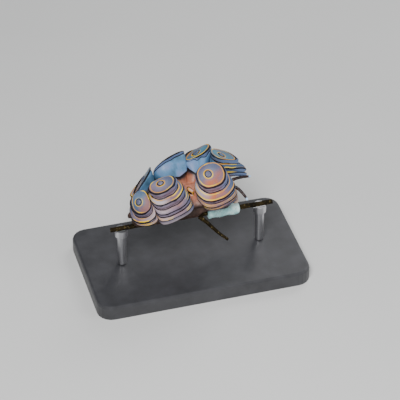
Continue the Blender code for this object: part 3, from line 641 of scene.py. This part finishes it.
class Shade:
    """Short ways to add nodes to one material."""

    def __init__(self, name):
        self.material = bpy.data.materials.new(name)
        self.material.use_nodes = True
        self.tree = self.material.node_tree
        self.shader = self.tree.nodes["Principled BSDF"]
        self.place = self.tree.nodes.new("ShaderNodeTexCoord").outputs["Object"]

    def link(self, value, socket):
        if isinstance(value, bpy.types.NodeSocket):
            self.tree.links.new(value, socket)
        elif hasattr(value, "__len__"):
            socket.default_value = (*value[:3], 1.0)
        else:
            socket.default_value = value

    def math(self, operation, first, second=0.0, third=0.0):
        node = self.tree.nodes.new("ShaderNodeMath")
        node.operation = operation
        for value, socket in zip((first, second, third), node.inputs):
            self.link(value, socket)
        return node.outputs[0]

    def times(self, first, second):
        return self.math("MULTIPLY", first, second)

    def scaled(self, value, factor, start):
        return self.math("MULTIPLY_ADD", value, factor, start)

    def rest(self, value):
        """What a share leaves of one."""
        return self.math("SUBTRACT", 1.0, value)

    def apart(self, first, second):
        return self.math("ABSOLUTE", self.math("SUBTRACT", first, second))

    def smooth(self, value, low, high):
        node = self.tree.nodes.new("ShaderNodeMapRange")
        node.interpolation_type = "SMOOTHSTEP"
        self.link(value, node.inputs["Value"])
        self.link(low, node.inputs["From Min"])
        self.link(high, node.inputs["From Max"])
        return node.outputs["Result"]

    def mix(self, share, first, second, blend="MIX"):
        node = self.tree.nodes.new("ShaderNodeMix")
        node.data_type = "RGBA"
        node.blend_type = blend
        self.link(share, node.inputs["Factor"])
        self.link(first, node.inputs["A"])
        self.link(second, node.inputs["B"])
        return node.outputs["Result"]

    def noise(self, scale, detail=3.0, roughness=0.5, distortion=0.0, place=None):
        node = self.tree.nodes.new("ShaderNodeTexNoise")
        self.link(place or self.place, node.inputs["Vector"])
        node.inputs["Scale"].default_value = scale
        node.inputs["Detail"].default_value = detail
        node.inputs["Roughness"].default_value = roughness
        node.inputs["Distortion"].default_value = distortion
        return node.outputs["Fac"]

    def cells(self, scale):
        node = self.tree.nodes.new("ShaderNodeTexVoronoi")
        self.link(self.place, node.inputs["Vector"])
        node.inputs["Scale"].default_value = scale
        return node.outputs["Distance"]

    def value(self, name):
        node = self.tree.nodes.new("ShaderNodeAttribute")
        node.attribute_name = name
        return node.outputs["Fac"]

    def ramp(self, share, stops, interpolation="LINEAR"):
        node = self.tree.nodes.new("ShaderNodeValToRGB")
        node.color_ramp.interpolation = interpolation
        elements = node.color_ramp.elements
        while len(elements) < len(stops):
            elements.new(1.0)
        for element, (position, colour) in zip(elements, stops):
            element.position = position
            element.color = (*colour, 1.0)
        self.link(share, node.inputs["Fac"])
        return node.outputs["Color"]

    def bump(self, height, distance, strength=1.0, normal=None):
        node = self.tree.nodes.new("ShaderNodeBump")
        node.inputs["Distance"].default_value = distance
        node.inputs["Strength"].default_value = strength
        self.link(height, node.inputs["Height"])
        if normal is not None:
            self.link(normal, node.inputs["Normal"])
        return node.outputs["Normal"]

    def finish(self, colour, roughness, normal=None, **fixed):
        self.link(colour, self.shader.inputs["Base Color"])
        self.link(roughness, self.shader.inputs["Roughness"])
        if normal is not None:
            self.link(normal, self.shader.inputs["Normal"])
        for name, value in fixed.items():
            label = name.replace("_", " ").title().replace("Ior", "IOR")
            self.link(value, self.shader.inputs[label])
        return self.material


def mixed(first, second, share):
    """A colour part of the way from the first to the second."""
    return tuple(a + (b - a) * share for a, b in zip(first, second))


def zone_stops(settings, cool):
    """Colour between the lines along a ceras, from its knob to its stalk."""
    face, wall = tuple(settings.face), tuple(settings.wall)
    pink = mixed(face, tuple(settings.warm), 0.30)
    knob = mixed(face, wall, 0.6)
    if cool:
        face, pink = mixed(face, COOL_FACE, 0.9), mixed(face, wall, 0.3)
        wall = mixed(wall, COOL_WALL, 0.85)
    pale = mixed(face, PALE_ZONE, 0.5)
    zones = ((0.0, knob), (2.0, face), (3.9, wall), (5.3, pink), (7.9, mixed(wall, pale, 0.1)),
             (9.3, pink), (11.9, mixed(wall, pale, 0.1)), (13.3, mixed(pink, pale, 0.05)),
             (15.9, mixed(wall, pale, 0.2)), (17.0, mixed(pale, tuple(settings.flesh), 0.6)))
    return [(place / LAST_LINE, colour) for place, colour in zones]


def line_stops(value_of):
    """One step for each line, by its number, with what value_of gives for its width and kind."""
    return [(max(0.0, (number - 0.5) / LAST_LINE), value_of(width, kind))
            for number, (_, width, kind) in enumerate(LINES)]


def ceras_colour(s, settings):
    """Faces, walls and fine lines of the cerata, with painted shade in the slot under the inner
    hems, and where a line is drawn.
    """
    inks = {DARK: tuple(settings.dark), GOLD: tuple(settings.gold), PALE: PALE_LINE}
    tier, cool = s.value("tier"), s.value("cool")
    line = s.scaled(s.math("SUBTRACT", s.noise(600.0, 2.0), 0.5), 0.4, s.value("line"))
    share = s.math("DIVIDE", line, LAST_LINE)
    nearest = s.math("ROUND", line)
    nearest_share = s.math("DIVIDE", nearest, LAST_LINE)
    inner_side = s.times(s.smooth(line, 5.2, 5.6), s.rest(tier))

    # The lines, uneven in width, with the gold ones fading out here and there
    away = s.times(s.apart(line, nearest), s.value("pitch"))
    is_gold = s.ramp(nearest_share, line_stops(lambda _, kind: (float(kind == GOLD),) * 3),
                     "CONSTANT")
    widths = s.ramp(nearest_share, line_stops(lambda width, _: (width,) * 3), "CONSTANT")
    faded = s.times(is_gold, s.smooth(s.noise(240.0, 2.0), 0.53, 0.40))
    uneven = s.times(s.scaled(s.noise(700.0, 2.0), 0.6, 0.70), s.rest(s.times(faded, 0.85)))
    half_width = s.times(s.times(widths, uneven), s.rest(inner_side))
    inside = s.rest(s.smooth(away, s.times(half_width, 0.7), half_width))
    drawn = s.times(inside, s.math("GREATER_THAN", half_width, THINNEST_LINE))

    # The zones between them, with soft patches, blush, pale side and blue side
    zone = s.mix(s.smooth(cool, 0.2, 0.9), s.ramp(share, zone_stops(settings, False)),
                 s.ramp(share, zone_stops(settings, True)))
    zone = s.mix(1.0, zone, s.ramp(s.noise(300.0, 2.0, 0.5, 0.4), SHADED_PATCHES), "MULTIPLY")
    from_wall = s.apart(s.math("MODULO", line, 4.0), 0.5)
    on_wall = s.times(s.smooth(from_wall, 0.75, 0.5), s.smooth(line, 3.4, 3.6))
    off_wall = s.rest(s.times(on_wall, 0.85))
    blotch = s.scaled(s.smooth(s.noise(420.0, 3.0, 0.6, 0.6), 0.38, 0.60), 0.55, 0.45)
    blush = s.times(s.times(s.value("warm"), blotch), s.rest(s.times(cool, 0.8)))
    zone = s.mix(s.times(blush, off_wall), zone, tuple(settings.warm))
    zone = s.mix(s.times(s.value("pale"), off_wall), zone, PALE_SIDE)
    zone = s.mix(s.times(s.value("chill"), 0.85), zone, s.mix(on_wall, CHILL_FACE, CHILL_WALL))

    # The plain inner side, the speckles and the root, which takes the back's colour
    zone = s.mix(inner_side, zone, s.ramp(s.noise(260.0, 2.0, 0.5, 0.8), INNER_BLUES))
    speckle = s.rest(s.smooth(s.cells(5200.0), 0.05, 0.4))
    zone = s.mix(s.times(speckle, 0.07), zone, SPECKLE)
    root = s.times(s.value("root"), s.smooth(line, 6.0, 12.0))
    zone = s.mix(s.times(root, 0.8), zone, tuple(settings.back))
    stalk = mixed(tuple(settings.back), tuple(settings.flesh), 0.3)
    zone = s.mix(s.smooth(line, 17.2, 17.45), zone, stalk)

    yellow = s.times(is_gold, s.smooth(s.noise(330.0, 2.0), 0.45, 0.60))
    plain = s.ramp(nearest_share, line_stops(lambda _, kind: inks[kind]), "CONSTANT")
    colour = s.mix(drawn, zone, s.mix(yellow, plain, YELLOW_LINE))
    # Painted shade: the slot under the inner hem, where the hem overhangs the back, is painted near
    # black
    slot = s.times(s.smooth(line, 16.55, 16.85), s.rest(s.smooth(line, 17.3, 17.6)))
    return s.mix(s.times(slot, inner_side), colour, PAINTED_SLOT_SHADE), drawn


def flesh_colour(s, settings):
    """Orange back, mottled sides, a dark foot that is partly painted shade, gold sheath lips and
    the ringed papilla.
    """
    flesh = tuple(settings.flesh)
    mottle = s.smooth(s.noise(700.0, 4.0, 0.62), 0.35, 0.7)
    colour = s.mix(mottle, flesh, mixed(flesh, FLESH_LIGHT, 0.4))
    back = s.times(s.value("back"), s.scaled(mottle, 0.4, 0.6))
    colour = s.mix(back, colour, tuple(settings.back))
    # The low sides and the foot darkened by height, partly their own colour and partly painted
    # shade under the body
    colour = s.mix(s.times(s.value("foot"), 0.92), colour, s.mix(mottle, *FOOT_AND_SHADE))
    freckle = s.smooth(s.noise(3800.0, 2.0), 0.60, 0.70)
    colour = s.mix(s.times(freckle, 0.5), colour, FRECKLE)
    colour = s.mix(s.times(s.value("edge"), 0.8), colour, VEIL_EDGE)
    colour = s.mix(s.value("lip"), colour, tuple(settings.gold))
    vent = s.value("vent")
    colour = s.mix(s.rest(s.smooth(vent, 0.55, 0.65)), colour, PAPILLA_PINK)
    for middle, thick, ink in ((0.76, 0.12, settings.gold), (1.00, 0.13, settings.dark)):
        ring = s.rest(s.smooth(s.apart(vent, middle), thick * 0.6, thick))
        colour = s.mix(ring, colour, tuple(ink))
    return colour


def skin_material(settings):
    """Ringed cerata and mottled flesh on one skin, told apart by the line value."""
    s = Shade("slug_skin")
    ringed, drawn = ceras_colour(s, settings)
    is_ceras = s.math("GREATER_THAN", s.value("line"), NO_LINE / 2.0)
    colour = s.mix(is_ceras, flesh_colour(s, settings), ringed)
    pores = s.bump(s.cells(4200.0), 0.00002, 0.5)
    normal = s.bump(s.noise(1600.0, 4.0, 0.6), 0.00006, 0.5, pores)
    roughness = s.scaled(s.noise(2600.0, 2.0), 0.22, 0.36)
    roughness = s.scaled(s.times(drawn, is_ceras), 0.25, roughness)
    return s.finish(colour, roughness, normal,
                    specular_ior_level=0.25, coat_weight=0.08, coat_roughness=0.2)


def rhinophore_material():
    """Smooth and near black, with a pale blue tip."""
    s = Shade("rhinophore_skin")
    colour = s.mix(s.smooth(s.noise(1800.0, 3.0, 0.6), 0.4, 0.62), *RHINOPHORE)
    colour = s.mix(s.smooth(s.value("tip"), 0.90, 0.95), colour, RHINOPHORE_TIP)
    normal = s.bump(s.noise(3000.0, 3.0), 0.00003, 0.6)
    return s.finish(colour, 0.40, normal,
                    specular_ior_level=0.3, coat_weight=0.1, coat_roughness=0.2)


def stem_material():
    """Dark brown and rough, with small ochre specks."""
    s = Shade("hydroid_stem")
    colour = s.mix(s.smooth(s.noise(500.0, 4.0, 0.65), 0.35, 0.65), *STEM)
    specks = s.smooth(s.noise(2400.0, 2.0), 0.60, 0.68)
    colour = s.mix(s.times(specks, 0.6), colour, STEM_SPECK)
    grain = s.bump(s.cells(3600.0), 0.00005, 0.8)
    normal = s.bump(s.noise(1500.0, 4.0, 0.7), 0.00010, 0.8, grain)
    return s.finish(colour, 0.78, normal, specular_ior_level=0.1)


def crust_material():
    """Pale sea green, mottled and lumpy."""
    s = Shade("pale_crust")
    colour = s.mix(s.smooth(s.noise(650.0, 4.0, 0.6), 0.35, 0.68), *CRUST)
    specks = s.smooth(s.noise(1700.0, 3.0), 0.60, 0.70)
    colour = s.mix(s.times(specks, 0.6), colour, CRUST_SPECK)
    grain = s.bump(s.cells(3000.0), 0.00006, 0.7)
    normal = s.bump(s.noise(1300.0, 4.0, 0.7), 0.00012, 0.8, grain)
    return s.finish(colour, 0.62, normal)


def plate_material():
    """Fine-grained dark coating of the stand's base."""
    s = Shade("stand_plate")
    colour = s.ramp(s.noise(300.0, 5.0, 0.6), PLATE)
    normal = s.bump(s.noise(6000.0, 2.0), 0.00001, 0.35)
    return s.finish(colour, s.scaled(s.noise(900.0, 4.0), 0.15, 0.38), normal)


def steel_material():
    """Brushed steel of the stand's rods, with its marks running round them."""
    s = Shade("stand_steel")
    stretched = s.tree.nodes.new("ShaderNodeMapping")
    stretched.inputs["Scale"].default_value = (1.0, 1.0, 60.0)
    s.link(s.place, stretched.inputs["Vector"])
    lines = s.noise(500.0, 4.0, 0.6, place=stretched.outputs["Vector"])
    return s.finish(s.ramp(lines, STEEL), s.scaled(lines, 0.2, 0.22),
                    s.bump(lines, 0.000008, 0.5), metallic=1.0)


def eye_material():
    """Wet black."""
    s = Shade("eye_dark")
    colour = s.mix(s.noise(4000.0, 2.0), *EYE)
    return s.finish(colour, 0.12, coat_weight=0.6, coat_roughness=0.05)


def floor_material():
    """Matt light grey."""
    s = Shade("studio_floor")
    colour = s.ramp(s.noise(12.0, 3.0), FLOOR)
    return s.finish(colour, 0.85, s.bump(s.noise(900.0, 2.0), 0.00002, 0.2))


# Pieces


class SLUG_OT_skin(Operator):
    """Build the one skin over the body, foot, head and cerata."""
    bl_idname = "sea_slug.skin"
    bl_label = "Skin"

    def execute(self, context):
        settings = context.scene.sea_slug
        shells = [body_shell(settings)] + [ceras_shell(name, settings) for name in CERATA]
        skin = make_object("slug_skin", shells)
        skin.data.materials.append(skin_material(settings))
        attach(skin, "root")
        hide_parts(*FLESH_NODES, *CERATA)
        return {"FINISHED"}


class SLUG_OT_rhinophores(Operator):
    """Build the two smooth rhinophores in their sheaths."""
    bl_idname = "sea_slug.rhinophores"
    bl_label = "Rhinophores"

    def execute(self, context):
        skin = rhinophore_material()
        for label, side in (("left", 1.0), ("right", -1.0)):
            root, lip = mirrored(SHEATH_ROOT, side), mirrored(SHEATH_LIP, side)
            along = unit(lip - root)
            start = lip - along * (POCKET_DEPTH + 0.1)
            bend, tip = lip + along * 0.7, np.array(RHINOPHORE_TIPS[label])
            steps = np.linspace(0.0, 1.0, 60)
            path = [(1 - t) ** 2 * start + 2 * t * (1 - t) * bend + t * t * tip for t in steps]
            radii = []
            for t in steps:
                taper = RHINOPHORE_RADIUS + (RHINOPHORE_TIP_RADIUS - RHINOPHORE_RADIUS) * t
                rounded = math.sqrt(max(0.02, 1.0 - max(0.0, (t - 0.93) / 0.07) ** 2))
                radii.append(taper * (1.0 + 0.05 * math.sin(40 * t)) * rounded)
            values = {"tip": np.repeat(steps[:, None], 28, axis=1)}
            piece = make_object("rhinophore_skin_" + label,
                                [shell_from_rings(tube_rings(path, radii, 28), values=values)])
            piece.data.materials.append(skin)
            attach(piece, "root")
            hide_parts("rhinophore_" + label)
        return {"FINISHED"}


class SLUG_OT_eyes(Operator):
    """Set the two tiny eyes in the skin behind the rhinophores."""
    bl_idname = "sea_slug.eyes"
    bl_label = "Eyes"

    def execute(self, context):
        skin = bpy.data.objects["slug_skin"]
        dark = eye_material()
        for label, near in zip(("left", "right"), EYES):
            wanted = Vector(near) * MM + Vector((0.0, 0.0, STEM_HEIGHT * MM))
            found, place, normal, _ = skin.closest_point_on_mesh(wanted)
            if not found:
                raise RuntimeError("the skin has no surface near an eye")
            middle = np.array(place - normal * EYE_RADIUS * EYE_SUNK * MM) / MM
            middle = middle - (0.0, 0.0, STEM_HEIGHT)
            bead = shell_from_rings(ellipsoid_rings(middle, (EYE_RADIUS,) * 3, 16, 24))
            piece = make_object("eye_bead_" + label, [bead])
            piece.data.materials.append(dark)
            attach(piece, "root")
        return {"FINISHED"}


def rough_tube(name, path, radii, sides, random, roughness):
    """A tube whose surface stands in and out of its path by random shares of its radius."""
    rings = tube_rings(path, radii, sides)
    axis = np.array(path)[:, None]
    uneven = 1.0 + random.normal(0.0, roughness, rings.shape[:2])[..., None]
    return make_object(name, [shell_from_rings(axis + (rings - axis) * uneven)])


class SLUG_OT_perch(Operator):
    """Build the stem, its side branch and its pale crust."""
    bl_idname = "sea_slug.perch"
    bl_label = "Perch"

    def execute(self, context):
        stem_skin, crust_skin = stem_material(), crust_material()
        random = np.random.default_rng(PERCH_SEED)

        stations = np.linspace(STEM_START, STEM_END, 420)
        path = [(x, 0.03 * math.sin(1.7 * x), 0.03 * math.cos(1.1 * x)) for x in stations]
        radii = [STEM_RADIUS * (0.95 + 0.04 * math.sin(2.9 * x)) for x in stations]
        stem = rough_tube("stem_skin", path, radii, 32, random, 0.035)

        root, tip = np.array(BRANCH_ROOT), np.array(BRANCH_TIP)
        steps = np.linspace(0.0, 1.0, 110)
        path = [root + (tip - root) * t + (0.0, 0.0, 0.12 * math.sin(7 * t)) for t in steps]
        radii = [BRANCH_RADIUS + (BRANCH_TIP_RADIUS - BRANCH_RADIUS) * t for t in steps]
        branch = rough_tube("branch_skin", path, radii, 26, random, 0.05)

        path, radii = [], []
        for x in np.linspace(CRUST_START, CRUST_END, 110):
            ends = min(1.0, 0.75 + (x - CRUST_START) / 0.8, 0.7 + (CRUST_END - x) / 0.9)
            path.append((x, 0.0, 0.0))
            radii.append((CRUST_RADIUS + 0.06 * math.sin(2.3 * x)) * ends)
        crust = rough_tube("crust_skin", path, radii, 48, random, 0.02)

        for piece, node, slot, finish in ((stem, "perch_stem", "hydroid_stem", stem_skin),
                                          (branch, "perch_side_branch", "hydroid_stem", stem_skin),
                                          (crust, "perch_crust", "pale_crust", crust_skin)):
            piece.data.materials.append(finish)
            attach(piece, "root")
            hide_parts(node)
        return {"FINISHED"}


class SLUG_OT_stand(Operator):
    """Finish the display stand's own solids."""
    bl_idname = "sea_slug.stand"
    bl_label = "Stand"

    def execute(self, context):
        plate, steel = plate_material(), steel_material()
        for name, finish in (("stand_base", plate), ("stand_rod_rear", steel),
                             ("stand_rod_front", steel)):
            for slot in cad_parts[name].material_slots:
                slot.material = finish
        return {"FINISHED"}


class SLUG_OT_stage(Operator):
    """Set up the pale floor, the soft lights and the camera."""
    bl_idname = "sea_slug.stage"
    bl_label = "Stage"

    def execute(self, context):
        shape = bmesh.new()
        bmesh.ops.create_grid(shape, x_segments=8, y_segments=8, size=FLOOR_HALF_SIZE)
        mesh = bpy.data.meshes.new("floor")
        shape.to_mesh(mesh)
        shape.free()
        floor = bpy.data.objects.new("floor", mesh)
        floor.location.z = -FLOOR_DROP
        floor.data.materials.append(floor_material())
        context.collection.objects.link(floor)

        azimuth, elevation = math.radians(CAMERA_AZIMUTH), math.radians(CAMERA_ELEVATION)
        right = Vector((math.cos(azimuth), math.sin(azimuth), 0.0))
        back = Vector((math.sin(azimuth) * math.cos(elevation),
                       -math.cos(azimuth) * math.cos(elevation), math.sin(elevation)))
        up = back.cross(right)
        middle = IMAGE_PIXELS / 2.0
        across = (middle - STEM_PIXEL[0]) * MM_PER_PIXEL * MM
        rise = (STEM_PIXEL[1] - middle) * MM_PER_PIXEL * MM
        target = Vector((0.0, 0.0, STEM_HEIGHT * MM)) + right * across + up * rise
        width = IMAGE_PIXELS * MM_PER_PIXEL * MM
        camera = bpy.data.objects.new("camera", bpy.data.cameras.new("camera"))
        camera.data.lens, camera.data.sensor_width = LENS, SENSOR
        camera.data.clip_start, camera.data.clip_end = 0.01, 10.0
        camera.location = target + back * (width * LENS / SENSOR)
        camera.rotation_mode = "QUATERNION"
        camera.rotation_quaternion = (-back).to_track_quat("-Z", "Y")
        context.collection.objects.link(camera)
        context.scene.camera = camera

        aim = Vector((0.0, 0.0, STEM_HEIGHT * MM + AIM_ABOVE_STEM))
        for name, place, size, power in LIGHTS:
            lamp = bpy.data.lights.new(name, "AREA")
            lamp.size, lamp.energy = size, power
            holder = bpy.data.objects.new(name, lamp)
            holder.location = place
            holder.rotation_mode = "QUATERNION"
            holder.rotation_quaternion = (aim - Vector(place)).to_track_quat("-Z", "Y")
            context.collection.objects.link(holder)
        world = bpy.data.worlds.new("studio")
        world.use_nodes = True
        sky = world.node_tree.nodes["Background"]
        sky.inputs["Color"].default_value = SKY
        sky.inputs["Strength"].default_value = SKY_STRENGTH
        context.scene.world = world
        return {"FINISHED"}


class SLUG_PT_panel(Panel):
    """Lists the sea slug's settings and pieces."""
    bl_label = "Sea slug"
    bl_idname = "SLUG_PT_panel"
    bl_space_type = "VIEW_3D"
    bl_region_type = "UI"
    bl_category = "Sea slug"

    def draw(self, context):
        for name in SlugSettings.__annotations__:
            self.layout.prop(context.scene.sea_slug, name)
        for piece in OPERATORS:
            self.layout.operator(piece.bl_idname)


OPERATORS = (SLUG_OT_skin, SLUG_OT_rhinophores, SLUG_OT_eyes, SLUG_OT_perch, SLUG_OT_stand,
             SLUG_OT_stage)
CLASSES = (SlugSettings, *OPERATORS, SLUG_PT_panel)


def register():
    for item in CLASSES:
        bpy.utils.register_class(item)
    bpy.types.Scene.sea_slug = PointerProperty(type=SlugSettings)


def unregister():
    del bpy.types.Scene.sea_slug
    for item in reversed(CLASSES):
        bpy.utils.unregister_class(item)


def main():
    register()
    bpy.ops.sea_slug.skin()
    bpy.ops.sea_slug.rhinophores()
    bpy.ops.sea_slug.eyes()
    bpy.ops.sea_slug.perch()
    bpy.ops.sea_slug.stand()
    bpy.ops.sea_slug.stage()


if __name__ == "__main__":
    main()
